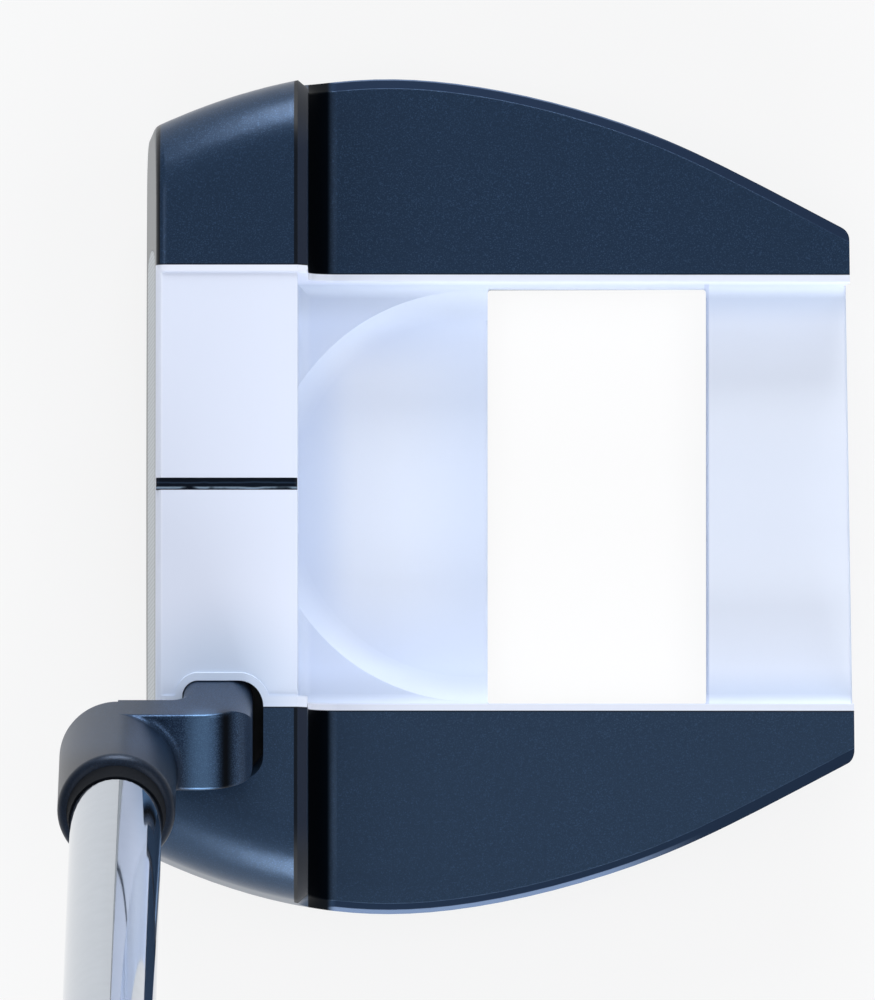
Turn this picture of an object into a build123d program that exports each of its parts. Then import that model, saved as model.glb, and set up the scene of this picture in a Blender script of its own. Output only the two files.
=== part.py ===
from build123d import *
import os
from math import asin, copysign, cos, degrees, pi, radians, sin, sqrt, tan

# A mallet putter, in millimetres. +X runs back from the face, +Y runs to the toe, +Z is up.
# The origin is on the flat land of the sole, under the middle of the front bar.

# Head, seen from above
head_height = 25.4
face_loft = 3.0                # degrees, the face leans back
face_top_x = -7.3
bar_back_x = 7.25
bar_half_width = 42.49
front_narrowing = 5.38         # from the bar's back down to the leading edge
widest_x = 17.5
widest_growth = 0.9            # beyond the bar's half width
hip_x = 38.5
hip_narrowing = 3.82           # from the widest place
tail_x = 64.4
tail_narrowing = 15.95         # from the widest place
tail_skew = 0.5                # the heel's corner reaches further back
heel_reach = 0.2               # the outline sits this much nearer the heel
front_slope = 0.48             # how fast the outline opens behind the face
tail_slope = -0.53
tail_corner = 1.5

# Head, seen from the face
bar_end_roll = 8.0             # rounding of the bar's two upper ends
sole_roll = 5.5                # how the sides turn under to the sole
leading_edge_roll = 1.2
sole_camber_across = 320.0     # radius heel to toe
sole_camber_along = 620.0      # radius front to back
sole_lowest_x = 10.0
sole_land_cut = 0.12           # what the flat land takes off the cambered sole
face_edge_break = 0.3

# Wings, rear channel, ball scoop and window
bar_strip_width = 1.05         # bevel along the bar's back edge
wing_crest_z = 11.6
wing_crown = 300.0
wing_fall = 0.6                # degrees, the wings drop to the rear
wing_foot_roll = 3.0
wing_edge_break = 0.25
channel_half_width = 21.9
floor_z = 4.4
channel_foot_roll = 1.3
ball_radius = 21.35            # one golf ball wide
scoop_x = 25.3
scoop_depth = 1.2
scoop_foot_roll = 3.4
window_front_x = 26.9
window_back_x = 49.6
window_side_ledge = 0.25       # from the channel wall to the window
window_corner = 0.35
window_lip = 0.3

# Shallow recess and sight line on the bar
top_recess = 0.18
line_width = 1.27
line_depth = 0.7
line_sunk = 0.12
line_end_roll = 0.3

# Face insert
insert_half_length = 24.9
insert_bottom_z = 4.7
insert_top_z = 21.9
insert_end_radius = 30.0
insert_corner = 2.5
insert_skin = 1.3
backer_thickness = 0.95
insert_tape = 0.15
insert_gap = 0.05
backer_rib_width = 1.6
backer_rib_pitch = 6.0
backer_rib_depth = 0.35

# Shaft line: where it crosses the level of the bar's top, and its lie
shaft_x = -11.15
shaft_y = -26.9
lie = 70.0                     # degrees from the ground

# Crank hosel, with heights along the shaft line from the level of the bar's top
barrel_radius = 6.05
arm_low = 3.8
arm_high = 9.7
barrel_top = 24.3
barrel_top_roll = 1.2
barrel_foot_roll = 1.2
arm_heel_offset = 2.1          # from the shaft line to the arm's heel side
post_offset = 6.65             # from the shaft line to the post's front
post_width = 7.15
arm_bend = 5.5
arm_crook = 1.3
arm_edge_break = 0.4
arm_under_roll = 0.6
barrel_blend = 0.9
bore_clearance = 0.10
bore_bottom = 6.0

# Pocket for the post, and the screw that holds it from the sole
pocket_depth = 6.0
pocket_side_gap = 0.12
pocket_back_gap = 1.1
pocket_heel_gap = 1.3
pocket_rim = 0.75
post_corner = 1.5
post_back_corner = 2.4         # the toe corner at the back
post_heel_corner = 1.0
post_foot_top = 2.3            # along the shaft line, where the foot's rounder corners start
hosel_bond_height = 2.5
screw_radius = 2.0
screw_hole_gap = 0.2
screw_head_radius = 3.5
screw_head_height = 2.6
screw_grip = 3.6               # thread in the post
screw_socket = 1.6
screw_socket_depth = 1.6
screw_seat_z = 4.2

# Sole weights
weight_x = 0.4
weight_y = 32.4
weight_thread_radius = 4.0
weight_thread_length = 6.0
weight_flange_radius = 5.3
weight_flange_height = 1.8
weight_seat_z = 4.2
weight_socket = 2.3
weight_socket_depth = 2.6
weight_fit = 0.05
weight_ring_height = 0.5
weight_ring_inset = 0.2
weight_port_spare = 0.6

# Shaft, ferrule and bonding
club_length = 864.0            # along the shaft line from the ground
shaft_tip_radius = 4.7
shaft_butt_radius = 7.35
shaft_wall = 0.6
shaft_tip_parallel = 250.0
shaft_taper_end = 520.0
shaft_seat_gap = 0.3
fit_gap = 0.01                 # between bonded or pressed round parts
ferrule_length = 3.0
ferrule_foot_radius = 5.1
ferrule_lip_radius = 4.98
ferrule_tip_radius = 4.85
ferrule_lip_at = 1.2
plug_length = 12.0

# Grip: each width, then how far the flat front and the belly reach from the shaft line
grip_length = 267.0
grip_tip_width = 19.5
grip_tip_front = 9.6
grip_tip_belly = 10.4
grip_waist_at = 0.45           # parts of the grip's length
grip_waist_width = 24.6
grip_waist_front = 11.0
grip_waist_belly = 12.8
grip_belly_at = 0.82
grip_belly_width = 27.5
grip_belly_front = 11.6
grip_belly_belly = 18.2
grip_butt_width = 26.6
grip_butt_front = 11.3
grip_butt_belly = 15.8
grip_points = 12
grip_front_square = 0.62       # 1 is round, lower is squarer
grip_back_square = 0.92
grip_tape = 0.15
grip_cap_height = 3.6
grip_cap_round = 1.6
cap_vent_radius = 1.2

# What follows from them
front_half_width = bar_half_width - front_narrowing
widest_half_width = bar_half_width + widest_growth
hip_half_width = widest_half_width - hip_narrowing
tail_half_width = widest_half_width - tail_narrowing
lean = 90.0 - lie
leading_edge_x = face_top_x - head_height * tan(radians(face_loft))
shaft_frame = Plane(origin=(shaft_x, shaft_y, head_height), x_dir=(1, 0, 0),
                    z_dir=(0, -sin(radians(lean)), cos(radians(lean))))
shaft_foot = head_height / cos(radians(lean))   # along the line, from the ground to the bar's top
shaft_tip = bore_bottom + shaft_seat_gap
cap_top = club_length - shaft_foot
shaft_end = cap_top - grip_cap_height
grip_start = cap_top - grip_length
bore_radius = shaft_tip_radius + bore_clearance
scoop_flat = ball_radius - sqrt(2 * scoop_foot_roll * scoop_depth - scoop_depth ** 2)
post_back = post_offset + post_width
pocket_floor_z = head_height - pocket_depth
line_floor_z = head_height - top_recess - line_depth
grip_bore = shaft_butt_radius + grip_tape
insert_depth = insert_skin + backer_thickness + insert_tape
arm_toe = barrel_radius
post_middle_across = (arm_toe - arm_heel_offset) / 2
post_foot_along = (-pocket_depth - post_middle_across * sin(radians(lean))) / cos(radians(lean))
screw_x = shaft_x + post_offset + post_width / 2
screw_y = shaft_y + post_middle_across * cos(radians(lean)) - post_foot_along * sin(radians(lean))
screw_tip_z = pocket_floor_z + screw_grip
weight_flange_top = weight_seat_z - weight_ring_height
weight_sides = {"toe": weight_y, "heel": -weight_y}
# On the face: X runs to the heel, Y up the face, Z out of it.
face_plane = Plane(origin=(leading_edge_x, 0, 0), x_dir=(0, -1, 0),
                   z_dir=(-cos(radians(face_loft)), 0, sin(radians(face_loft))))
far = 200.0                    # reach of the cutting blocks
near = 0.01                    # two places closer than this are the same


def block(x_low, x_high, y_low, y_high, z_low, z_high):
    middle = Pos((x_low + x_high) / 2, (y_low + y_high) / 2, (z_low + z_high) / 2)
    return middle * Box(x_high - x_low, y_high - y_low, z_high - z_low)


def head_side(side, corner_x):
    # One side of the outline from above: side is 1 at the toe, -1 at the heel.
    places = [(leading_edge_x, front_half_width), (bar_back_x, bar_half_width), (widest_x, widest_half_width),
              (hip_x, hip_half_width), (corner_x, tail_half_width)]
    return Spline(*[(x, side * half - heel_reach) for x, half in places],
                  tangents=((1, side * front_slope), (1, side * tail_slope)))


def head_form(corner):
    # The outline carried up to the bar's top, its two tail corners rounded.
    toe = head_side(1, tail_x)
    heel = head_side(-1, tail_x + tail_skew)
    plan = make_face([toe, Line(toe @ 1, heel @ 1), heel, Line(heel @ 0, toe @ 0)])
    if corner:
        plan = fillet(plan.vertices().sort_by(Axis.X)[-2:], corner)
    return extrude(plan, head_height)


def arched_section(radius, reach, height):
    # Flat-topped section in X and Y, bounded below by an arc with its lowest or highest point at 0.
    rise = abs(radius) - sqrt(radius ** 2 - reach ** 2)
    end = rise if radius > 0 else -rise
    return make_face([ThreePointArc((-reach, end), (0, 0), (reach, end)),
                      Polyline((reach, end), (reach, height), (-reach, height), (-reach, end))])


def sole_form():
    # A block whose underside is cambered both ways about the middle of the sole.
    upright = Plane(origin=(sole_lowest_x, 0, -sole_land_cut), x_dir=(0, 1, 0), z_dir=(1, 0, 0))
    section = upright * arched_section(sole_camber_across, far / 4, far / 4)
    swing = degrees(asin(far / 2 / sole_camber_along))
    hub = Axis((sole_lowest_x, 0, sole_camber_along), (0, 1, 0))
    return revolve(section.rotate(hub, -swing), hub, 2 * swing)


def wing_space():
    # What is cleared away above the wings, behind the bar.
    start_x = bar_back_x + bar_strip_width
    upright = Plane(origin=(-far / 4, 0, 0), x_dir=(0, 1, 0), z_dir=(1, 0, 0))
    arch = extrude(upright * arched_section(-wing_crown, far / 4, far / 4), far)
    space = Pos(start_x, 0, wing_crest_z) * Rot(0, wing_fall, 0) * arch
    space &= block(start_x, far / 2, -far / 2, far / 2, 0, far / 4)
    front = space.faces().sort_by(Axis.X)[0]
    foot = front.edges().sort_by(lambda e: e.length)[-2:].sort_by(Axis.Z)[0]
    return fillet(foot, wing_foot_roll)


def face_wedge():
    # What the loft takes off the front.
    return face_plane * Pos(0, 0, far / 2) * Box(far, far, far)


def head_blank():
    # The head without its cut-outs: plan, cambered sole, loft and wings, the big rolls made.
    blank = head_form(0) & sole_form()
    under = [e for e in blank.edges() if e.center().Z < floor_z
             and (abs(e.center().Y) > channel_half_width or e.center().X > widest_x)]
    blank = fillet(under, sole_roll)
    blank -= face_wedge()
    blank -= wing_space()
    ends = [e for e in blank.edges().group_by(Axis.Z)[-1] if abs(e.center().Y) > channel_half_width]
    return fillet(ends, bar_end_roll)


def bar_wall(body):
    # The upright face at the back of the bar, above the wings.
    place = bar_back_x + bar_strip_width
    flats = body.faces().filter_by(GeomType.PLANE)
    return [f for f in flats if abs(f.center().X - place) < near][0]


def edged_blank():
    # The bar's strip, the wings' outer edges, the leading edge and the two tail corners.
    blank = head_blank()
    top_edges = [e for e in bar_wall(blank).edges() if e.center().Z > (head_height + wing_crest_z) / 2]
    blank = chamfer(top_edges, bar_strip_width)
    outer = [e for e in blank.edges() if e.length > far / 10 and e.center().X > widest_x
             and abs(e.center().Y) > channel_half_width
             and wing_crest_z * 3 / 4 < e.center().Z < wing_crest_z]
    outer = sorted(outer, key=lambda e: -abs(e.center().Y))[:2]
    blank = fillet(outer, wing_edge_break)
    lofted = blank.faces().filter_by(GeomType.PLANE).sort_by(Axis.X)[0]
    blank = fillet(lofted.edges().sort_by(Axis.Z)[0], leading_edge_roll)
    return blank & head_form(tail_corner)


def channel_space():
    # The deep channel behind the bar, open to the rear.
    space = block(bar_back_x, far, -channel_half_width, channel_half_width, floor_z, far)
    under = space.edges().group_by(Axis.Z)[0]
    return fillet([e for e in under if e.center().X < far - 1], channel_foot_roll)


def scoop_space():
    # The ball-sized dish in the channel's floor: a flat bottom in a concave roll.
    side = RadiusArc((scoop_flat, -scoop_depth), (ball_radius, 0), -scoop_foot_roll)
    rest = Polyline((ball_radius, 0), (ball_radius, scoop_depth), (0, scoop_depth), (0, -scoop_depth),
                    (scoop_flat, -scoop_depth))
    dish = revolve(Plane.XZ * make_face([side, rest]), Axis.Z)
    dish = Pos(scoop_x, 0, floor_z) * dish
    return dish & block(bar_back_x, far, -channel_half_width, channel_half_width, -far, far)


def window_space():
    # The opening through the floor, its two long edges rounded.
    half = channel_half_width - window_side_ledge
    space = block(window_front_x, window_back_x, -half, half, -far / 4, far / 4)
    space = fillet(space.edges().filter_by(Axis.Z), window_corner)
    space += lip_space(window_front_x, -1, floor_z - scoop_depth, scoop_flat - scoop_foot_roll / 10)
    return space + lip_space(window_back_x, 1, floor_z, channel_half_width - channel_foot_roll)


def lip_space(edge_x, side, top_z, half):
    # What rounds one edge of the window takes off: side is 1 behind the window, -1 before it.
    middle_x = edge_x + side * window_lip
    other_x = edge_x - side * window_lip
    strip = block(min(middle_x, other_x), max(middle_x, other_x), -half, half,
                  top_z - window_lip, top_z + window_lip)
    return strip - Pos(middle_x, 0, top_z - window_lip) * Rot(90, 0, 0) * Cylinder(window_lip, far)


def post_corners(form, heel_corner, front_corner, back_corner):
    # Rounds the four upright edges of a block that stands on the post's place.
    form = fillet(form.edges().filter_by(Axis.Z).sort_by(Axis.Y)[:2], heel_corner)
    toe_edges = form.edges().filter_by(Axis.Z).sort_by(Axis.Y)[-2:].sort_by(Axis.X)
    form = fillet(toe_edges[0], front_corner)
    upright = form.edges().filter_by(Axis.Z).sort_by(lambda e: e.center().X + e.center().Y)
    return fillet(upright[-1], back_corner)


def post_prism(gap, back_gap, heel_gap, low_z):
    # The leaning post's form, wider by the gaps, open to the top.
    form = block(post_offset - gap, post_back + back_gap, -arm_heel_offset - heel_gap, arm_toe + gap,
                 -far / 4, far / 10)
    form = post_corners(form, post_heel_corner + heel_gap, post_corner + gap, post_back_corner + gap)
    return (shaft_frame * form) & block(-far, far, -far, far, low_z, far)


def insert_outline(shrink):
    low = insert_bottom_z + shrink
    high = insert_top_z - shrink
    half = insert_half_length - shrink
    middle = (low + high) / 2
    sag = insert_end_radius - sqrt(insert_end_radius ** 2 - ((high - low) / 2) ** 2)
    outline = make_face([
        Line((-half + sag, high), (half - sag, high)),
        ThreePointArc((half - sag, high), (half, middle), (half - sag, low)),
        Line((half - sag, low), (-half + sag, low)),
        ThreePointArc((-half + sag, low), (-half, middle), (-half + sag, high))])
    return fillet(outline.vertices(), insert_corner - shrink)


def insert_layer(shrink, depth, thickness):
    # A layer of the face, from depth below the face, inwards.
    return face_plane * extrude(Pos(0, 0, -depth) * insert_outline(shrink), -thickness)


def weight_port(side_y):
    wide = Cylinder(weight_flange_radius + 2 * weight_fit, weight_seat_z + 1)
    deep = weight_thread_length + weight_port_spare
    narrow = Cylinder(weight_thread_radius + weight_fit, deep)
    port = Pos(0, 0, (weight_seat_z - 1) / 2) * wide + Pos(0, 0, weight_seat_z + deep / 2) * narrow
    return Pos(weight_x, side_y, 0) * port


def screw_space():
    # The counterbore in the sole and the clearance hole up to the post's pocket.
    seat = Cylinder(screw_head_radius + screw_hole_gap, screw_seat_z + 1)
    hole = Cylinder(screw_radius + screw_hole_gap, pocket_floor_z)
    space = Pos(0, 0, (screw_seat_z - 1) / 2) * seat + Pos(0, 0, pocket_floor_z / 2 + 1) * hole
    return Pos(screw_x, screw_y, 0) * space


def line_space(gap, low_z, high_z):
    # The groove of the sight line runs across the bar from the face to the back.
    half = line_width / 2 - gap
    return block(-far / 4, bar_back_x + 1, -half, half, low_z, high_z)


def head_body():
    body = edged_blank()
    body -= channel_space()
    body -= scoop_space()
    body -= window_space()
    recess = block(-far / 4, bar_back_x + 1, -channel_half_width, channel_half_width,
                   head_height - top_recess, head_height + 1)
    body -= recess - post_prism(pocket_side_gap + pocket_rim, pocket_back_gap + pocket_rim,
                                pocket_heel_gap + pocket_rim, pocket_floor_z)
    body -= post_prism(pocket_side_gap, pocket_back_gap, pocket_heel_gap, pocket_floor_z)
    body -= line_space(0, line_floor_z, far)
    body -= insert_layer(0, -1, insert_depth + 1)
    for side_y in weight_sides.values():
        body -= weight_port(side_y)
    return body - screw_space()


def face_insert():
    return insert_layer(insert_gap, 0, insert_skin)


def insert_backer():
    # A softer plate behind the insert, its back relieved between upright ribs.
    plate = insert_layer(insert_gap, insert_skin, backer_thickness)
    reach = insert_half_length - insert_corner - backer_rib_width
    high = (insert_top_z - insert_bottom_z) / 2 - insert_corner
    slots = int(reach / backer_rib_pitch)
    for step in range(-slots, slots + 1):
        slot = SlotOverall(2 * high, backer_rib_pitch - backer_rib_width, rotation=90)
        slot = Pos(step * backer_rib_pitch, (insert_top_z + insert_bottom_z) / 2) * slot
        depth = insert_skin + backer_thickness
        plate -= face_plane * extrude(Pos(0, 0, -depth) * slot, backer_rib_depth)
    return plate


def insert_bond():
    return insert_layer(insert_gap, insert_skin + backer_thickness, insert_tape)


def alignment_inlay():
    # Black resin in the groove, just below the bar's top, its ends rounded.
    top_z = head_height - top_recess - line_sunk
    inlay = line_space(fit_gap, line_floor_z, top_z) - face_wedge()
    inlay &= block(-far, bar_back_x, -far, far, -far, far)
    return fillet(inlay.edges().filter_by(Axis.Y).group_by(Axis.Z)[-1], line_end_roll)


def hosel_arm():
    # The crank: from the barrel, over, and down into the head.
    low_z = -pocket_depth * 2
    bend = Polyline((0, arm_low), (post_offset, arm_low), (post_offset, low_z), (post_back, low_z),
                    (post_back, arm_high), (0, arm_high), close=True)
    side = make_face(bend)
    side = fillet([v for v in side.vertices() if abs(v.X - post_offset) < near and v.Y > 0], arm_crook)
    side = fillet([v for v in side.vertices() if abs(v.X - post_back) < near and v.Y > 0], arm_bend)
    arm = Pos(0, arm_toe, 0) * extrude(Plane.XZ * side, arm_toe + arm_heel_offset)
    inside = [e for e in arm_rims(arm, low_z) if e.center().X < post_offset + near
              and e.center().Z < arm_low + near]
    arm = fillet(inside, arm_under_roll)
    outside = [e for e in arm_rims(arm, low_z) if e.center().X > post_back - arm_bend / 2
               or e.center().Z > arm_high - arm_bend / 2]
    arm = fillet(outside, arm_edge_break)
    whole = block(-far, post_back, -arm_heel_offset, arm_toe, low_z, far)
    foot = block(post_offset, post_back, -arm_heel_offset, arm_toe, low_z, far)
    foot = post_corners(foot, post_heel_corner, post_corner, post_back_corner)
    above = block(-far, post_offset + post_width / 2, -far, far, post_foot_top, far)
    return arm & (foot + (above & whole))


def arm_rims(arm, low_z):
    # The edges along the arm's two sides, without those of its two cut ends.
    middle_y = (arm_toe - arm_heel_offset) / 2
    sides = [e for e in arm.edges() if abs(e.center().Y - middle_y) > middle_y]
    return [e for e in sides if e.center().X > near and e.center().Z > low_z + 1]


def joins_barrel(place):
    # True on the inner corners between the barrel and the arm, above the arm's underside.
    off = abs(sqrt(place.X ** 2 + place.Y ** 2) - barrel_radius)
    return (off < arm_under_roll and place.X > arm_under_roll and place.Z < arm_high + near
            and place.Z > arm_low + arm_under_roll / 3 and not (place.Y > arm_toe - near))


def crank_hosel():
    # One forging: barrel, arm and post, bored for the shaft and tapped for the screw.
    rise = barrel_top - arm_low
    barrel = Pos(0, 0, arm_low + rise / 2) * Cylinder(barrel_radius, rise)
    barrel = fillet(barrel.edges().group_by(Axis.Z)[-1], barrel_top_roll)
    barrel = fillet(barrel.edges().group_by(Axis.Z)[0], barrel_foot_roll)
    hosel = barrel + hosel_arm()
    hosel = fillet([e for e in hosel.edges() if joins_barrel(e.center())], barrel_blend)
    bore = Pos(0, 0, bore_bottom + far / 2) * Cylinder(bore_radius, far)
    hosel = shaft_frame * (hosel - bore)
    hosel &= block(-far, far, -far, far, pocket_floor_z, far)
    deep = screw_grip + 0.5
    tapped = Pos(screw_x, screw_y, pocket_floor_z + deep / 2) * Cylinder(screw_radius + fit_gap, deep)
    return hosel - tapped


def hosel_bond():
    # Epoxy round the post's foot.
    bond = post_prism(pocket_side_gap, pocket_back_gap, pocket_heel_gap, pocket_floor_z)
    bond -= post_prism(fit_gap, fit_gap, fit_gap, pocket_floor_z - 1)
    return bond & block(-far, far, -far, far, pocket_floor_z, pocket_floor_z + hosel_bond_height)


def lobed_bit(radius, depth):
    # Six round lobes round a core, for a driver.
    bit = Cylinder(radius * 0.8, depth)
    for step in range(6):
        bit += Rot(0, 0, 60 * step) * Pos(radius * 0.78, 0, 0) * Cylinder(radius * 0.22, depth)
    return bit


def hosel_screw():
    head = Pos(0, 0, screw_seat_z - screw_head_height / 2) * Cylinder(screw_head_radius, screw_head_height)
    head = chamfer(head.edges().group_by(Axis.Z)[0], screw_socket_depth / 5)
    length = screw_tip_z - screw_seat_z
    shank = Pos(0, 0, screw_seat_z + length / 2) * Cylinder(screw_radius, length)
    bottom = screw_seat_z - screw_head_height
    socket = Pos(0, 0, bottom + screw_socket_depth / 2) * lobed_bit(screw_socket, screw_socket_depth)
    return Pos(screw_x, screw_y, 0) * (head + shank - socket)


def ferrule():
    low, high = barrel_top, barrel_top + ferrule_length
    inner = shaft_tip_radius + fit_gap
    profile = Polyline((inner, low), (ferrule_foot_radius, low), (ferrule_lip_radius, low + ferrule_lip_at),
                       (ferrule_tip_radius, high), (inner, high), close=True)
    return shaft_frame * revolve(Plane.XZ * make_face(profile), Axis.Z)


def shaft():
    # A tube, parallel at the tip, tapering up to the butt.
    outside = [(shaft_tip_radius, shaft_tip), (shaft_tip_radius, shaft_tip_parallel),
               (shaft_butt_radius, shaft_taper_end), (shaft_butt_radius, shaft_end)]
    inside = [(radius - shaft_wall, height) for radius, height in reversed(outside)]
    return shaft_frame * revolve(Plane.XZ * make_face(Polyline(*outside, *inside, close=True)), Axis.Z)


def tube(inner, outer, low, high):
    length = high - low
    return shaft_frame * Pos(0, 0, low + length / 2) * (Cylinder(outer, length) - Cylinder(inner, length))


def shaft_bond():
    return tube(shaft_tip_radius + fit_gap, bore_radius - fit_gap, shaft_tip, barrel_top - fit_gap)


def tip_plug():
    radius = shaft_tip_radius - shaft_wall - fit_gap
    return shaft_frame * Pos(0, 0, shaft_tip + plug_length / 2) * Cylinder(radius, plug_length)


def sole_weight(side_y):
    # A screw-in weight: flange, thread and a driver's socket from below.
    flange_z = weight_flange_top - weight_flange_height
    flange = Cylinder(weight_flange_radius, weight_flange_height)
    flange = Pos(0, 0, flange_z + weight_flange_height / 2) * flange
    flange = chamfer(flange.edges().group_by(Axis.Z)[0], weight_flange_height / 5)
    tall = weight_thread_length + weight_ring_height
    thread = Pos(0, 0, weight_flange_top + tall / 2) * Cylinder(weight_thread_radius, tall)
    thread = chamfer(thread.edges().group_by(Axis.Z)[-1], weight_thread_radius / 6)
    socket = Pos(0, 0, flange_z + weight_socket_depth / 2) * lobed_bit(weight_socket, weight_socket_depth)
    return Pos(weight_x, side_y, 0) * (flange + thread - socket)


def weight_ring(side_y):
    outer = Cylinder(weight_flange_radius - weight_ring_inset, weight_ring_height)
    inner = Cylinder(weight_thread_radius + weight_fit, weight_ring_height)
    return Pos(weight_x, side_y, weight_flange_top + weight_ring_height / 2) * (outer - inner)


def grip_section(height, width, flat, belly):
    # A D, the flat side to the front: flat and belly are its reaches from the shaft line.
    points = []
    for step in range(grip_points):
        turn = 2 * pi * (step + 0.5) / grip_points
        across, along = cos(turn), sin(turn)
        reach = flat if along > 0 else belly
        square = grip_front_square if along > 0 else grip_back_square
        points.append((copysign(abs(across) ** square, across) * width / 2,
                       copysign(abs(along) ** square, along) * reach))
    return Pos(0, 0, height) * make_face(Spline(*points, periodic=True))


def grip():
    length = shaft_end - grip_start
    sections = [
        grip_section(grip_start, grip_tip_width, grip_tip_front, grip_tip_belly),
        grip_section(grip_start + grip_waist_at * length, grip_waist_width, grip_waist_front,
                     grip_waist_belly),
        grip_section(grip_start + grip_belly_at * length, grip_belly_width, grip_belly_front,
                     grip_belly_belly),
        grip_section(shaft_end, grip_butt_width, grip_butt_front, grip_butt_belly)]
    solid = shaft_frame * loft(sections)
    return solid - tube(0, grip_bore, grip_start - 1, shaft_end + 1)


def grip_cap():
    outline = grip_section(shaft_end, grip_butt_width, grip_butt_front, grip_butt_belly)
    cap = extrude(outline, grip_cap_height)
    cap = fillet(cap.edges().group_by(Axis.Z)[-1], grip_cap_round)
    return shaft_frame * cap - tube(0, cap_vent_radius, shaft_end - 1, cap_top + 1)


def grip_tape_sleeve():
    return tube(shaft_butt_radius + fit_gap, grip_bore - fit_gap, grip_start, shaft_end)


parts = {
    "head_body": head_body(),
    "face_insert": face_insert(),
    "insert_backer": insert_backer(),
    "insert_bond": insert_bond(),
    "alignment_inlay": alignment_inlay(),
    "crank_hosel": crank_hosel(),
    "hosel_bond": hosel_bond(),
    "hosel_screw": hosel_screw(),
    "ferrule": ferrule(),
    "shaft": shaft(),
    "shaft_bond": shaft_bond(),
    "tip_plug": tip_plug(),
    "grip": grip(),
    "grip_cap": grip_cap(),
    "grip_tape": grip_tape_sleeve(),
}
for side, side_y in weight_sides.items():
    parts[side + "_weight"] = sole_weight(side_y)
    parts[side + "_weight_ring"] = weight_ring(side_y)

os.makedirs("parts", exist_ok=True)
for node, shape in parts.items():
    export_step(shape, "parts/" + node + ".step")
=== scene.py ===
import math
import bpy
import bmesh
from mathutils import Matrix, Vector


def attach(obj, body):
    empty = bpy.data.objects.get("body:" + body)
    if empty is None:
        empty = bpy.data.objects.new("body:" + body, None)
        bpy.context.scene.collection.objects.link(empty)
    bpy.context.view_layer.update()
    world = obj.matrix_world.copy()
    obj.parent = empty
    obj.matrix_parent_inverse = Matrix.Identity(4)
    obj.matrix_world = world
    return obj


# Mallet putter on a pale floor, seen from above the head. Metres, +X back, +Y toe, +Z up.

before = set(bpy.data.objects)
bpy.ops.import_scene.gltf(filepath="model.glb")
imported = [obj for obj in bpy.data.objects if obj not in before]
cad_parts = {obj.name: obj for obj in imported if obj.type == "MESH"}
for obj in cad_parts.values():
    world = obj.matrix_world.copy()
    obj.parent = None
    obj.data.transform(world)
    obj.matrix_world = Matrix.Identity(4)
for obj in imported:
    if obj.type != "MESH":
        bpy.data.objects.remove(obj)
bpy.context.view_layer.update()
mm = 0.001


class Signal:
    # a node's output that takes part in sums; each sum adds its Math node

    def __init__(self, finish, socket):
        self.finish, self.socket = finish, socket

    def math(self, operation, *others, swap=False):
        values = [self, *others]
        if swap:
            values.reverse()
        return self.finish.node("ShaderNodeMath", {"operation": operation}, dict(enumerate(values)))

    def __add__(self, other):
        return self.math("ADD", other)

    def __sub__(self, other):
        return self.math("SUBTRACT", other)

    def __rsub__(self, other):
        return self.math("SUBTRACT", other, swap=True)

    def __mul__(self, other):
        return self.math("MULTIPLY", other)

    def __truediv__(self, other):
        return self.math("DIVIDE", other)

    def __rtruediv__(self, other):
        return self.math("DIVIDE", other, swap=True)

    __radd__ = __add__
    __rmul__ = __mul__


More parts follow.
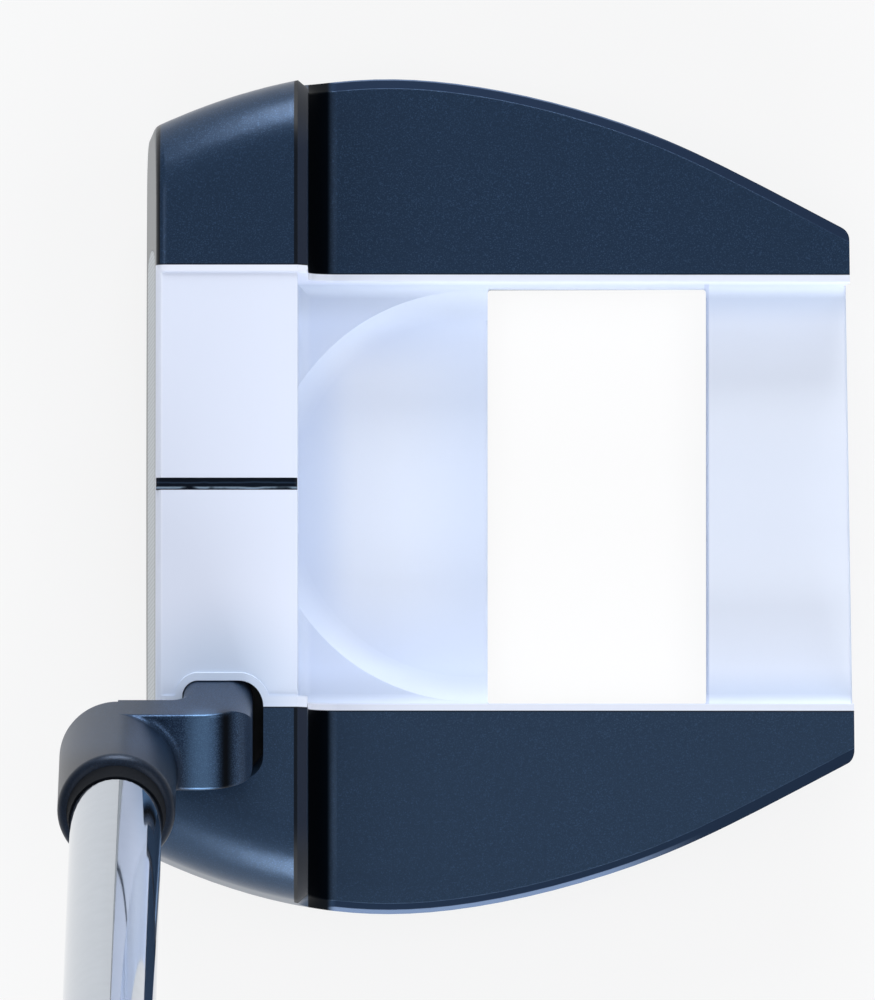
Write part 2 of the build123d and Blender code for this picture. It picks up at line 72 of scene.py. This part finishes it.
class Finish:
    # one material and the nodes that make it

    def __init__(self, name, **plain):
        self.material = bpy.data.materials.new(name)
        self.material.use_nodes = True
        self.tree = self.material.node_tree
        self.tree.nodes.clear()
        self.output = self.tree.nodes.new("ShaderNodeOutputMaterial")
        self.shader = self.tree.nodes.new("ShaderNodeBsdfPrincipled")
        self.tree.links.new(self.shader.outputs[0], self.output.inputs["Surface"])
        for socket, value in plain.items():
            self.shader.inputs[socket.replace("_", " ")].default_value = value

    def node(self, kind, settings=None, sockets=None, out=0):
        made = self.tree.nodes.new(kind)
        for name, value in (settings or {}).items():
            setattr(made, name, value)
        for name, value in (sockets or {}).items():
            self.feed(made.inputs[name], value)
        return Signal(self, made.outputs[out])

    def feed(self, socket, value):
        if isinstance(value, Signal):
            self.tree.links.new(value.socket, socket)
        else:
            socket.default_value = value

    def drive(self, **sockets):
        for name, value in sockets.items():
            self.feed(self.shader.inputs[name.replace("_", " ")], value)

    def over(self, share, **plain):
        # lays a second coat where share is 1; what is driven next goes to it
        coat = self.tree.nodes.new("ShaderNodeBsdfPrincipled")
        for socket, value in plain.items():
            coat.inputs[socket.replace("_", " ")].default_value = value
        under, top = Signal(self, self.shader.outputs[0]), Signal(self, coat.outputs[0])
        both = self.node("ShaderNodeMixShader", None, {0: share, 1: under, 2: top})
        self.feed(self.output.inputs["Surface"], both)
        self.shader = coat

    def place(self, origin=(0, 0, 0)):
        # object coordinates in millimetres
        spot = self.node("ShaderNodeTexCoord", out="Object")
        spot = self.node("ShaderNodeVectorMath", {"operation": "SCALE"}, {0: spot, "Scale": 1 / mm})
        if any(origin):
            spot = self.node("ShaderNodeVectorMath", {"operation": "SUBTRACT"}, {0: spot, 1: origin})
        return spot

    def parts(self, vector):
        split = self.node("ShaderNodeSeparateXYZ", None, {0: vector})
        outs = split.socket.node.outputs
        return Signal(self, outs[0]), Signal(self, outs[1]), Signal(self, outs[2])

    def rise(self, value, low, high):
        # 0 below low, 1 above high, smooth between
        return self.node("ShaderNodeMapRange", {"interpolation_type": "SMOOTHSTEP"},
                         {"Value": value, "From Min": low, "From Max": high})

    def band(self, value, low, high, soft):
        # 1 from low to high, with soft ends
        start = self.rise(value, low - soft, low + soft)
        return start * (1 - self.rise(value, high - soft, high + soft))

    def mix(self, mask, first, second):
        made = self.node("ShaderNodeMix", {"data_type": "RGBA"})
        node = made.socket.node
        colours = [socket for socket in node.inputs if socket.type == "RGBA"]
        self.feed(node.inputs["Factor"], mask)
        self.feed(colours[0], first)
        self.feed(colours[1], second)
        return Signal(self, [socket for socket in node.outputs if socket.type == "RGBA"][0])

    def noise(self, vector, scale, detail=2.0, roughness=0.5):
        return self.node("ShaderNodeTexNoise", None,
                         {"Vector": vector, "Scale": scale, "Detail": detail, "Roughness": roughness})

    def bump(self, height, strength, distance):
        return self.node("ShaderNodeBump", None,
                         {"Height": height, "Strength": strength, "Distance": distance * mm})


def tone(red, green, blue):
    # a screen colour, 0 to 255, as the linear one the shader takes

    def straight(value):
        value = value / 255
        return value / 12.92 if value <= 0.04045 else ((value + 0.055) / 1.055) ** 2.4

    return (straight(red), straight(green), straight(blue), 1.0)


headFinish = {
    # tones
    # painted light: the navy is lighter on the heel side than on the toe side
    "navyToe": tone(28, 48, 71),
    "navyHeelPaintedLight": tone(39, 58, 80),
    "navyFleck": tone(70, 98, 134),
    "strip": tone(34, 43, 60),            # the bevel along the bar's back, painted darker as shade
    "shadow": tone(3, 6, 11),             # the concave foot behind the bar and the bar's thin dark lines
    "white": tone(216, 222, 237),
    # painted light: these tones make the channel's floor look as evenly lit as the top, with the dish
    # lighter still
    "scoop": tone(240, 244, 251),
    "channel": tone(218, 224, 236),
    "floor": tone(215, 225, 243),
    # painted shade at the foot of the channel's walls
    "wall": tone(203, 212, 227),
    # painted shade along the window's back edge and the floor's rear edge
    "windowEdgeShade": tone(184, 194, 216),
    # painted light on the bar's rims, and a darker tone on the wings' rims as painted shade
    "rim": tone(223, 227, 238),
    "rimLow": tone(212, 216, 227),
    "hoselShade": tone(187, 201, 222),
    "steel": tone(124, 127, 129),
    "steelFoot": tone(92, 94, 97),
    # painted shade on the wings' outer edges, and a painted highlight along them
    "edgeShadeToe": tone(15, 33, 56),
    "edgeShadeHeel": tone(16, 33, 54),
    "edgeGlint": tone(112, 130, 158),
    # shine of the navy coat, and what each region adds to it: metallic, roughness
    "metallic": 0.5,
    "roughness": 0.3,
    "shine": {
        "foot": (0.5, 0.26),
        "strip": (0.2, 0.0),
        "edge": (0.35, 0.4),
        "endShade": (-0.7, 0.35),
        "steel": (0.4, 0.11),
    },
    # grain of the paint, in sizes per millimetre
    "grainSize": 7.0,
    "cloudSize": 0.12,
    "fleckFrom": (0.5, 0.7),
    "fleckShare": 0.35,
    "fleckLeast": 0.5,
    "navyBump": (0.22, 0.02),             # strength, depth
    "whiteBump": (0.06, 0.02),
    "whiteRoughness": 0.55,
    "whiteGloss": 0.25,
    # where things lie, in millimetres; a pair is where a mask starts and where it is full
    "soft": 0.04,
    "barFront": -7.38,
    "barBack": 7.25,
    "stripSpan": (7.3, 8.26),
    "stripBack": 8.3,
    "high": (12.2, 12.6),                 # the bar's faces lie above this
    "footHeight": (6.0, 7.0),
    "footBack": (10.2, 11.3),
    "frontLine": 0.45,
    "backLine": (-0.36, 0.04),            # from the bar's back edge
    "lineShare": 0.9,
    "sideLine": 0.14,
    "sideSoft": 0.05,
    "sideShare": 0.75,
    "barHeelHalf": 23.03,                 # where the white ends on the bar's heel side
    "paintHalf": 22.62,
    "heelAcross": (0.0, 1.0),
    "acrossNavy": (-30.0, 30.0),
    "rimHalf": 21.9,
    "rimFrom": (0.05, 0.2),
    "frontRim": 0.7,
    "frontSoft": 0.1,
    "frontShare": 0.6,
    "steelHeight": (2.0, 6.5),
    "whiteHeight": (1.6, 1.9),
    "deepHeight": (5.0, 9.0),
    "endsFrom": (34.0, 39.5),
    "endPast": 0.1,
    "endShare": 0.8,
    # the crowned wings and their outer edges, where shade and a highlight are painted
    "wingCrest": 11.6,
    "wingFall": 0.01047,
    "wingCrown": 300.0,
    "wingFront": 0.5,
    "wingFoot": (1.3, 2.2),
    "edgeBelow": (0.015, 0.05),
    "glintBelow": (0.58, 0.68),
    "glintToe": 0.3,                      # further down, and fainter, on the toe side
    "glintShare": 0.85,
    "toeAcross": (-1.0, 1.0),
    "glintBack": (38.0, 50.0),
    # the channel's floor, with its painted light and shade
    "middleBand": (6.0, 17.0),
    "middleSoft": 3.0,
    "middleShare": 0.15,
    "dishFront": (8.6, 13.5),
    "dishBack": (15.0, 28.0),
    "dishHeel": (-19.0, -8.0),
    "dishToe": (12.0, 18.0),
    "dishShare": 0.68,
    "behind": (26.0, 49.0),
    "wallFoot": (17.5, 20.5),
    "windowBack": (49.4, 49.88),
    "windowSoft": 0.08,
    "tailAt": 64.42,
    "tailSkew": 0.0148,
    "tailWidth": 0.35,
    "tailShare": 0.7,
    # the soft shade beside the hosel's post
    "shadeAt": (-0.6, -22.5, 25.2),
    "shadeReach": (1.0, 13.0),
}


def makeHeadFinish():
    # satin navy paint and bare steel on the face, then the white paint over the middle
    s = headFinish
    f = Finish("headCoat", Specular_IOR_Level=0.35)
    spot = f.place()
    x, y, z = f.parts(spot)
    off = y.math("ABSOLUTE")
    soft = s["soft"]
    grain = f.noise(spot, s["grainSize"], 2.0, 0.7)
    cloud = f.noise(spot, s["cloudSize"], 2.0, 0.5)
    fleck = f.rise(grain, *s["fleckFrom"])
    # painted light: the navy grows lighter from the toe side to the heel side
    navy = f.mix(f.rise(y, *s["acrossNavy"]), s["navyHeelPaintedLight"], s["navyToe"])
    navy = f.mix(fleck * s["fleckShare"] * (cloud + s["fleckLeast"]), navy, s["navyFleck"])

    # painted shade: on the bar's back bevel, over the concave foot behind it, and in thin dark lines round
    # the bar's top and along the white's edges
    high = f.rise(z, *s["high"])
    strip = f.band(x, *s["stripSpan"], soft) * high
    foot = f.rise(x, s["stripBack"] - soft, s["stripBack"] + soft)
    foot = foot * (1 - f.rise(x, *s["footBack"])) * f.rise(z, *s["footHeight"])
    back, past = (s["barBack"] + step for step in s["backLine"])
    lines = f.band(x, s["barFront"], s["barFront"] + s["frontLine"], soft)
    lines = lines.math("MAXIMUM", f.band(x, back, past, soft)) * high * s["lineShare"]
    heelBar = f.rise(s["stripBack"] - x, 0.0, soft) * f.rise(0.0 - y, *s["heelAcross"])
    half = heelBar * (s["barHeelHalf"] - s["paintHalf"]) + s["paintHalf"]
    sides = f.band(off, half, half + s["sideLine"], s["sideSoft"]) * s["sideShare"]
    # painted shade: the foot, the lines round the bar and the lines along the white's edges
    dark = foot.math("MAXIMUM", lines.math("MAXIMUM", sides))

    # the wings' outer edges, found by how far they lie under the crowned top; painted shade darkens them and
    # a painted highlight runs along them
    top = s["wingCrest"] - (x - s["stripBack"]) * s["wingFall"] - y * y / (2 * s["wingCrown"])
    below = top - z
    wing = f.rise(x, s["stripBack"], s["stripBack"] + s["wingFront"]) * (1 - f.rise(below, *s["wingFoot"]))
    edge = f.rise(below, *s["edgeBelow"]) * wing * (1 - foot)
    toe = f.rise(y, *s["toeAcross"])
    lower = toe * s["glintToe"]
    low, full = s["glintBelow"]
    glint = f.rise(below, lower + low, lower + full) * wing * (1 - f.rise(x, *s["glintBack"]))
    glint = glint * (s["glintShare"] - lower)
    edgeShadeAndGlint = f.mix(glint, f.mix(toe, s["edgeShadeHeel"], s["edgeShadeToe"]), s["edgeGlint"])
    coat = f.mix(dark, f.mix(strip, navy, s["strip"]), s["shadow"])
    coat = f.mix(edge, coat, edgeShadeAndGlint)

    # the bevel's ends turn away over the bar's rolls; painted shade keeps them dark and they are made dull
    endShade = f.band(x, back, s["stripBack"] + s["endPast"], soft) * high * f.rise(off, *s["endsFrom"])
    coat = f.mix(endShade * s["endShare"], coat, s["shadow"])
    steel = f.rise(s["barFront"] - x, 0.0, soft)
    bare = f.mix(f.rise(z, *s["steelHeight"]), s["steelFoot"], s["steel"])
    metallic, roughness = s["metallic"], s["roughness"]
    for region, mask in {"foot": foot, "strip": strip, "edge": edge, "endShade": endShade, "steel": steel}.items():
        metal, rough = s["shine"][region]
        metallic = mask * metal + metallic
        roughness = mask * rough + roughness
    f.drive(Base_Color=f.mix(steel, coat, bare), Metallic=metallic, Roughness=roughness,
            Normal=f.bump(grain, *s["navyBump"]))

    # white paint; painted light evens out the channel's floor and lightens the dish and the bar's rims, and
    # painted shade darkens the walls' foot, the window's back edge, the floor's rear edge and the wings'
    # rims
    white = f.rise(half - off, -soft, soft) * f.rise(z, *s["whiteHeight"]) * (1 - steel)
    f.over(white, Roughness=s["whiteRoughness"], Specular_IOR_Level=s["whiteGloss"])
    deep = 1 - f.rise(z, *s["deepHeight"])
    middle = f.band(off, *s["middleBand"], s["middleSoft"]) * s["middleShare"]
    dish = f.rise(x, *s["dishFront"]) * (1 - f.rise(x, *s["dishBack"])) * f.rise(y, *s["dishHeel"])
    dish = dish * (1 - f.rise(y, *s["dishToe"])) * s["dishShare"]
    # painted light: the dish ahead and the channel's middle behind take the lighter tone
    ahead, behind = f.mix(dish, s["floor"], s["scoop"]), f.mix(middle, s["channel"], s["scoop"])
    floor = f.mix(f.rise(x, *s["behind"]), ahead, behind)
    # painted shade at the walls' foot
    floor = f.mix(f.rise(off, *s["wallFoot"]), floor, s["wall"])
    # painted shade along the window's back edge
    floor = f.mix(f.band(x, *s["windowBack"], s["windowSoft"]), floor, s["windowEdgeShade"])
    # painted shade along the floor's rear edge
    tail = f.rise(x + y * s["tailSkew"], s["tailAt"] - s["tailWidth"], s["tailAt"])
    floor = f.mix(tail * s["tailShare"], floor, s["windowEdgeShade"])
    # painted light on the bar's rims, painted shade on the wings' rims
    low, full = (s["rimHalf"] + step for step in s["rimFrom"])
    rim = f.rise(off, low, full)
    # painted light along the bar's front edge
    front = f.band(x, s["barFront"], s["barFront"] + s["frontRim"], s["frontSoft"])
    rim = rim.math("MAXIMUM", front * s["frontShare"])
    paint = f.mix(rim, f.mix(deep, s["white"], floor), f.mix(high, s["rimLow"], s["rim"]))
    away = f.node("ShaderNodeVectorMath", {"operation": "LENGTH"}, {0: f.place(s["shadeAt"])}, out="Value")
    shade = (1 - f.rise(away, *s["shadeReach"])) * high
    f.drive(Base_Color=f.mix(shade, paint, s["hoselShade"]), Normal=f.bump(grain, *s["whiteBump"]))
    return f.material


insertFinish = {
    "dark": tone(150, 155, 160),
    "light": tone(192, 197, 200),
    "pitch": 0.45,            # of the pits, in millimetres
    "dot": 0.13,              # a pit's radius
}


def makeInsertFinish():
    # a light metal face with fine pits in a close grid, painted darker in the pits as shade
    s = insertFinish
    f = Finish("pittedInsert", Metallic=0.6, Roughness=0.5)
    spot = f.place()
    _, y, z = f.parts(spot)
    across = (y / s["pitch"]).math("FRACT") - 0.5
    upward = (z / s["pitch"]).math("FRACT") - 0.5
    apart = (across * across + upward * upward).math("SQRT") * s["pitch"]
    pit = 1 - f.rise(apart, s["dot"] * 0.6, s["dot"])
    grain = f.noise(spot, 6.0, 2.0)
    # painted shade: the pits take the dark tone, and the grain varies it
    f.drive(Base_Color=f.mix(pit * 0.8 + grain * 0.2, s["light"], s["dark"]),
            Normal=f.bump(grain * 0.3 - pit, 0.3, 0.04))
    return f.material


lineFinish = {
    "resin": tone(5, 12, 22),
    "resinLight": tone(9, 18, 30),
    "highlightStreak": tone(120, 138, 156),
    "faintHighlight": tone(38, 52, 70),
    "streakAt": -0.4,
    "streakWidth": (0.04, 0.15),
    "faintAt": 0.12,
    "faintWidth": (0.02, 0.12),
    "waver": 0.25,
}


def makeInlayFinish():
    # glossy resin, poured; the light its slight hollow catches along one side is a painted highlight, with a
    # fainter painted highlight line beside it
    s = lineFinish
    f = Finish("sightLineResin", Metallic=0.0, Roughness=0.2, Specular_IOR_Level=0.1)
    spot = f.place()
    _, y, _ = f.parts(spot)
    ripple = f.noise(spot, 0.5, 2.0)
    wave = (ripple - 0.5) * s["waver"]
    # painted highlight along one side, and a fainter one beside it
    highlightStreak = 1 - f.rise((y - s["streakAt"] + wave).math("ABSOLUTE"), *s["streakWidth"])
    faintHighlight = 1 - f.rise((y - s["faintAt"] - wave).math("ABSOLUTE"), *s["faintWidth"])
    tint = f.mix(highlightStreak * f.rise(ripple, 0.3, 0.55), f.mix(ripple, s["resin"], s["resinLight"]), s["highlightStreak"])
    f.drive(Base_Color=f.mix(faintHighlight * 0.7, tint, s["faintHighlight"]), Normal=f.bump(ripple, 0.15, 0.05))
    return f.material


hoselFinish = {
    "dark": tone(30, 45, 66),
    "light": tone(64, 88, 118),
    "lightFrom": (0.42, 0.7),
    "valleyShade": tone(2, 6, 12),             # painted shade in a band down the post's heel side
    "valleyAt": (-0.7, 0.6),
    "valleySoft": 0.6,
    "postTop": (-24.8, -23.2),            # the post's top face starts here
    "under": tone(12, 18, 28),            # painted shade on the barrel's lower half
    "underHeel": (-31.0, -25.5),
    "underBack": (-5.4, -3.0),
    "underShare": 0.85,
    "barrelBack": (-9.0, -5.0),
    "barrelShare": 0.3,
    "lit": tone(96, 128, 162),            # painted light beside the painted shade down the post
    "litAt": (-3.8, -1.3),
    "litSoft": 1.0,
    "litShare": 0.4,
}


def makeHoselFinish():
    # blasted and blackened steel with a blue cast; painted shade darkens it under the barrel, over the
    # barrel's front and in a band down the post's heel side, and painted light lies beside that band
    s = hoselFinish
    f = Finish("blastedHosel", Specular_IOR_Level=0.2)
    spot = f.place()
    x, y, _ = f.parts(spot)
    grain = f.noise(spot, 9.0, 3.0, 0.65)
    skin = f.mix(f.rise(grain, *s["lightFrom"]), s["dark"], s["light"])
    side = 1 - f.rise(y, *s["postTop"])
    valleyShade = f.band(x, *s["valleyAt"], s["valleySoft"]) * side
    under = (1 - f.rise(y, *s["underHeel"])) * (1 - f.rise(x, *s["underBack"]))
    # painted shade over the barrel's front
    barrel = (1 - f.rise(x, *s["barrelBack"])) * s["barrelShare"]
    lit = f.band(x, *s["litAt"], s["litSoft"]) * side
    skin = f.mix(barrel.math("MAXIMUM", under * s["underShare"]), skin, s["under"])
    skin = f.mix(lit * s["litShare"], skin, s["lit"])
    f.drive(Base_Color=f.mix(valleyShade, skin, s["valleyShade"]), Metallic=0.7 - under * 0.4,
            Roughness=grain * 0.1 + 0.3, Normal=f.bump(grain, 0.35, 0.025))
    return f.material


shaftFinish = {"deep": tone(183, 190, 199), "bright": tone(191, 198, 207), "hazeSize": 0.6}


def makeShaftFinish():
    # polished chrome with a faint haze
    s = shaftFinish
    f = Finish("shaftChrome", Metallic=1.0, Roughness=0.04)
    haze = f.noise(f.place(), s["hazeSize"], 2.0)
    f.drive(Base_Color=f.mix(haze, s["deep"], s["bright"]), Roughness=haze * 0.03 + 0.03)
    return f.material


softFinishes = {
    "gripRubber": {
        "dark": tone(34, 35, 38), "light": tone(44, 45, 49),
        "grainSize": 3.0, "depth": 0.1, "gloss": 0.5,
        "nodes": ("grip", "grip_cap", "heel_weight_ring", "toe_weight_ring", "insert_backer"),
    },
    "ferrulePlastic": {
        "dark": tone(4, 7, 12), "light": tone(9, 13, 20),
        "grainSize": 1.0, "depth": 0.02, "gloss": 0.08,
        "nodes": ("ferrule",),
    },
    "tapeFilm": {
        "dark": tone(196, 192, 180), "light": tone(208, 204, 194),
        "grainSize": 4.0, "depth": 0.03, "gloss": 0.5,
        "nodes": ("insert_bond", "grip_tape"),
    },
    "epoxy": {
        "dark": tone(24, 24, 26), "light": tone(36, 35, 34),
        "grainSize": 2.0, "depth": 0.05, "gloss": 0.5,
        "nodes": ("hosel_bond", "shaft_bond", "tip_plug"),
    },
}


def makeSoftFinish(name):
    # rubber, plastic, tape and glue: a dull skin with a fine grain
    s = softFinishes[name]
    f = Finish(name, Metallic=0.0, Specular_IOR_Level=s["gloss"])
    grain = f.noise(f.place(), s["grainSize"], 3.0, 0.6)
    f.drive(Base_Color=f.mix(grain, s["dark"], s["light"]), Normal=f.bump(grain, 0.4, s["depth"]),
            Roughness=grain * 0.2 + 0.62)
    return f.material


weightFinish = {
    "dark": tone(168, 170, 174),
    "light": tone(186, 188, 192),
    "roughness": (0.25, 0.37),
    "nodes": ("heel_weight", "toe_weight", "hosel_screw"),
}


def makeWeightFinish():
    # turned steel, lightly brushed
    s = weightFinish
    least, most = s["roughness"]
    f = Finish("weightSteel", Metallic=1.0)
    grain = f.noise(f.place(), 5.0, 3.0, 0.6)
    f.drive(Base_Color=f.mix(grain, s["dark"], s["light"]), Roughness=grain * (most - least) + least,
            Normal=f.bump(grain, 0.15, 0.02))
    return f.material


def dress(node, material):
    # puts one material on every slot of a node
    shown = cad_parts[node]
    for place in range(max(1, len(shown.material_slots))):
        if shown.material_slots:
            shown.material_slots[place].material = material
        else:
            shown.data.materials.append(material)


tailLip = {
    "inner": 61.9,            # how far into the head it starts
    "edgeAt": 64.42,          # its rear edge on the middle line
    "skew": 0.0148,           # the edge runs a little further back at the heel
    "half": 21.86,
    "wall": 21.9,             # the channel's own half width, floor and corner roll
    "floor": 4.4,
    "footRoll": 1.3,
    "sunk": 0.02,             # the lip starts this far under the floor
    "round": 0.3,             # of the top edge at the rear
    "thick": 0.7,
    "rootMore": 0.3,          # it is thicker where it starts
    "undercut": 0.15,
    "flatSteps": 16,
    "rollSteps": 14,
    "roundSteps": 4,
}


def makeTailLip(material):
    # the thin rear lip of the channel's floor, past the roll under the sole
    s = tailLip
    flat = s["wall"] - s["footRoll"]
    rolled = s["half"] - flat
    shape = bmesh.new()

    def topAt(y):
        # level over the floor, with a roll up each wall
        up = max(0.0, abs(y) - flat)
        return s["floor"] + s["footRoll"] - math.sqrt((s["footRoll"] + s["sunk"]) ** 2 - up ** 2)

    # the section has four corners, the rear one rounded above and undercut below
    low = topAt(s["half"])
    root = low - s["thick"] - s["rootMore"]
    corners = [(s["inner"], low), (s["edgeAt"], low), (s["edgeAt"], low - s["thick"]), (s["inner"], root)]
    ring = [shape.verts.new((x, -s["half"], z)) for x, z in corners]
    shape.faces.new(ring)
    foot = ring[2]
    bmesh.ops.bevel(shape, geom=[ring[1]], offset=s["round"], offset_type="OFFSET", affect="VERTICES",
                    segments=s["roundSteps"], profile=0.5, material=-1)
    bmesh.ops.translate(shape, verts=[foot], vec=(-s["undercut"], 0, 0))

    # it is drawn across the channel from wall to wall, then its rear is skewed
    climb = [flat + rolled * step / s["rollSteps"] for step in range(s["rollSteps"], 0, -1)]
    level = [flat * (2 * step / s["flatSteps"] - 1) for step in range(s["flatSteps"] + 1)]
    stops = [-y for y in climb] + level + climb[::-1]
    face = shape.faces[:][0]
    for here, there in zip(stops, stops[1:]):
        grown = bmesh.ops.extrude_face_region(shape, geom=[face])["geom"]
        if here > stops[0]:
            bmesh.ops.delete(shape, geom=[face], context="FACES_ONLY")
        face = [part for part in grown if isinstance(part, bmesh.types.BMFace)][0]
        bmesh.ops.translate(shape, verts=face.verts, vec=(0, there - here, topAt(there) - topAt(here)))
    rear = [vert for vert in shape.verts if vert.co.x > s["inner"] + s["round"]]
    skew = Matrix.Identity(4)
    skew[0][1] = -s["skew"]
    bmesh.ops.transform(shape, verts=rear, matrix=skew)
    bmesh.ops.recalc_face_normals(shape, faces=shape.faces)
    bmesh.ops.scale(shape, verts=shape.verts, vec=(mm, mm, mm))
    mesh = bpy.data.meshes.new("tailLip")
    shape.to_mesh(mesh)
    shape.free()
    mesh.materials.append(material)
    lip = bpy.data.objects.new("tailLip", mesh)
    bpy.context.collection.objects.link(lip)
    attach(lip, "club")


print("materials")
headCoat = makeHeadFinish()
dress("head_body", headCoat)
dress("face_insert", makeInsertFinish())
dress("alignment_inlay", makeInlayFinish())
dress("crank_hosel", makeHoselFinish())
dress("shaft", makeShaftFinish())
for name, finish in softFinishes.items():
    material = makeSoftFinish(name)
    for node in finish["nodes"]:
        dress(node, material)
material = makeWeightFinish()
for node in weightFinish["nodes"]:
    dress(node, material)
print("tail lip")
makeTailLip(headCoat)

floorSettings = {
    "tone": tone(247, 247, 247),
    "side": 60.0,
    "drop": 0.0005,           # under the sole
    "back": 0.9,              # share of the floor that shows its own tone; the rest keeps the shadow
    "paintedLightPatch": tone(255, 255, 255),          # painted light: a lighter patch under the head's window, where the head shades the floor
    "cardLong": (10.0, 60.0),
    "cardWide": (-23.0, 23.0),
    "cardSoft": 0.5,
}


def makeFloor():
    # pale paper, with a lighter patch painted in where the window looks down on it, as painted light
    s = floorSettings
    shape = bmesh.new()
    bmesh.ops.create_grid(shape, x_segments=1, y_segments=1, size=s["side"] / 2)
    bmesh.ops.translate(shape, verts=shape.verts, vec=(0, 0, -s["drop"]))
    mesh = bpy.data.meshes.new("floor")
    shape.to_mesh(mesh)
    shape.free()
    floor = bpy.data.objects.new("floor", mesh)
    bpy.context.collection.objects.link(floor)
    f = Finish("floorPaper", Roughness=0.9)
    f.shader.inputs["Base Color"].default_value = s["tone"]
    x, y, _ = f.parts(f.place())
    paintedLightPatch = f.band(x, *s["cardLong"], s["cardSoft"]) * f.band(y, *s["cardWide"], s["cardSoft"])
    glow = f.node("ShaderNodeEmission", None, {"Color": f.mix(paintedLightPatch, s["tone"], s["paintedLightPatch"]), "Strength": 1.0})
    path = f.node("ShaderNodeLightPath").socket.node.outputs
    seen = Signal(f, path["Is Camera Ray"])
    for ray in ("Is Glossy Ray", "Is Transmission Ray"):
        seen = seen.math("MAXIMUM", Signal(f, path[ray]))
    paper = Signal(f, f.shader.outputs[0])
    blend = f.node("ShaderNodeMixShader", None, {0: seen * s["back"], 1: paper, 2: glow})
    f.feed(f.output.inputs["Surface"], blend)
    mesh.materials.append(f.material)


worldSettings = {"air": tone(235, 240, 250), "strength": 0.45, "seen": tone(247, 247, 247)}


def makeWorld():
    # soft air all round; the camera sees the floor's tone instead
    s = worldSettings
    world = bpy.data.worlds.new("studio")
    bpy.context.scene.world = world
    world.use_nodes = True
    tree = world.node_tree
    tree.nodes.clear()
    output = tree.nodes.new("ShaderNodeOutputWorld")
    air = tree.nodes.new("ShaderNodeBackground")
    seen = tree.nodes.new("ShaderNodeBackground")
    path = tree.nodes.new("ShaderNodeLightPath")
    both = tree.nodes.new("ShaderNodeMixShader")
    air.inputs["Color"].default_value = s["air"]
    air.inputs["Strength"].default_value = s["strength"]
    seen.inputs["Color"].default_value = s["seen"]
    tree.links.new(path.outputs["Is Camera Ray"], both.inputs[0])
    tree.links.new(air.outputs[0], both.inputs[1])
    tree.links.new(seen.outputs[0], both.inputs[2])
    tree.links.new(both.outputs[0], output.inputs["Surface"])


lampsAim = (0.02, 0.0, 0.02)
lamps = {
    "front": {"at": (-1.1, 0.0, 1.8), "size": (1.6, 0.8), "power": 6, "tint": (1.0, 0.99, 0.99)},
    "back": {"at": (1.2, 0.0, 1.7), "size": (1.6, 0.8), "power": 11, "tint": (1.0, 0.99, 0.99)},
    "toeSide": {"at": (0.06, 1.5, 0.42), "size": (0.82, 0.85), "power": 29, "tint": (0.96, 0.98, 1.0)},
    "heelSide": {"at": (0.05, -1.5, 0.4), "size": (1.0, 0.8), "power": 25, "tint": (0.96, 0.98, 1.0)},
}


def makeLamps():
    # two overhead panels, and one on each side for the rolls' highlights
    for name, lamp in lamps.items():
        data = bpy.data.lights.new(name, "AREA")
        data.shape = "RECTANGLE"
        data.size, data.size_y = lamp["size"]
        data.energy = lamp["power"]
        data.color = lamp["tint"]
        made = bpy.data.objects.new(name, data)
        bpy.context.collection.objects.link(made)
        made.location = lamp["at"]
        aim = Vector(lampsAim) - Vector(lamp["at"])
        made.rotation_mode = "QUATERNION"
        made.rotation_quaternion = aim.to_track_quat("-Z", "Y")
        made.visible_camera = False


cameraSettings = {
    "tilt": 3.55,             # degrees it leans to the heel
    "distance": 3.0,
    "lens": 1047.6,
    "sensor": 36.0,
    "clip": (0.1, 200.0),
    "target": (0.0217, -0.0017, 0.0254),
}


def makeCamera():
    # nearly straight down on the head, with its face to the left
    s = cameraSettings
    lean = math.radians(s["tilt"])
    data = bpy.data.cameras.new("camera")
    data.lens = s["lens"]
    data.sensor_width = s["sensor"]
    data.clip_start, data.clip_end = s["clip"]
    made = bpy.data.objects.new("camera", data)
    bpy.context.collection.objects.link(made)
    back = Vector((0, -math.sin(lean), math.cos(lean)))
    up = Vector((0, math.cos(lean), math.sin(lean)))
    right = up.cross(back)
    turn = Matrix((right, up, back)).transposed().to_4x4()
    made.matrix_world = Matrix.Translation(Vector(s["target"]) + back * s["distance"]) @ turn
    bpy.context.scene.camera = made


print("stage")
makeFloor()
makeWorld()
makeLamps()
makeCamera()
bpy.context.scene.view_settings.view_transform = "Standard"

print("finished")
